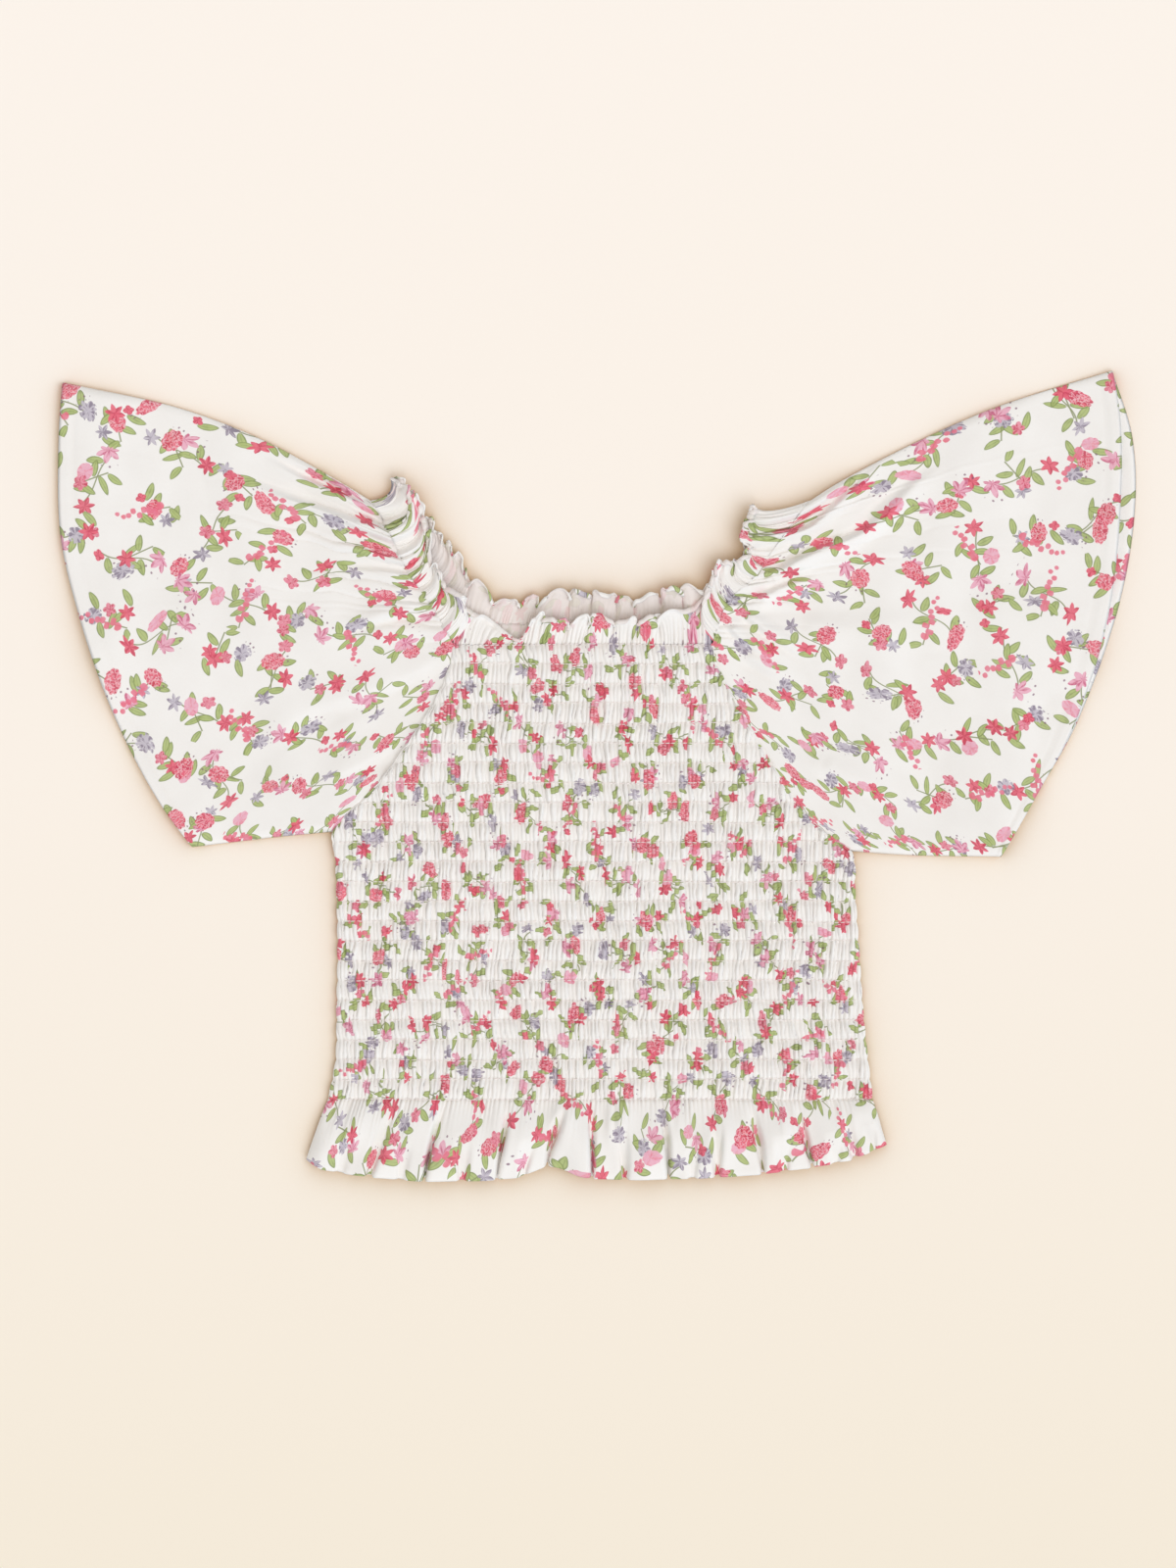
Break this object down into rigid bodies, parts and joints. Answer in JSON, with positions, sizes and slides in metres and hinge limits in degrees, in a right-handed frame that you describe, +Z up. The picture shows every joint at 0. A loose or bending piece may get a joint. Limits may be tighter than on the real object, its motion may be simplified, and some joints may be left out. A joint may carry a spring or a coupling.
{
  "type": "shirred flutter-sleeve crop top",
  "caption": "Short woven top laid flat, its body gathered by rows of elastic, with wide flutter sleeves, frilled neck edges and a ruffled hem.",
  "frame": {"origin": "under the middle of the garment's outline, on the surface it lies on", "axes": "+X to the right across the sleeves, +Y toward the neck, +Z up from the surface; the garment's front faces up"},
  "size_m": [0.5494, 0.413, 0.0081],
  "materials": {
    "printed_cloth": "soft plain-woven cloth with a small scattered flower print",
    "cloth_inside": "the same cloth's unprinted inside, with the print showing through faintly"
  },
  "bodies": {
    "root": {"body_front": "printed_cloth", "body_back": "printed_cloth", "neck_ruffle_front": "printed_cloth", "neck_ruffle_back": "cloth_inside", "hem_ruffle_front": "printed_cloth", "hem_ruffle_back": "printed_cloth", "sleeve_left": "printed_cloth", "sleeve_right": "printed_cloth", "sleeve_ruffle_left": "printed_cloth", "sleeve_ruffle_right": "printed_cloth"}
  },
  "joints": []
}
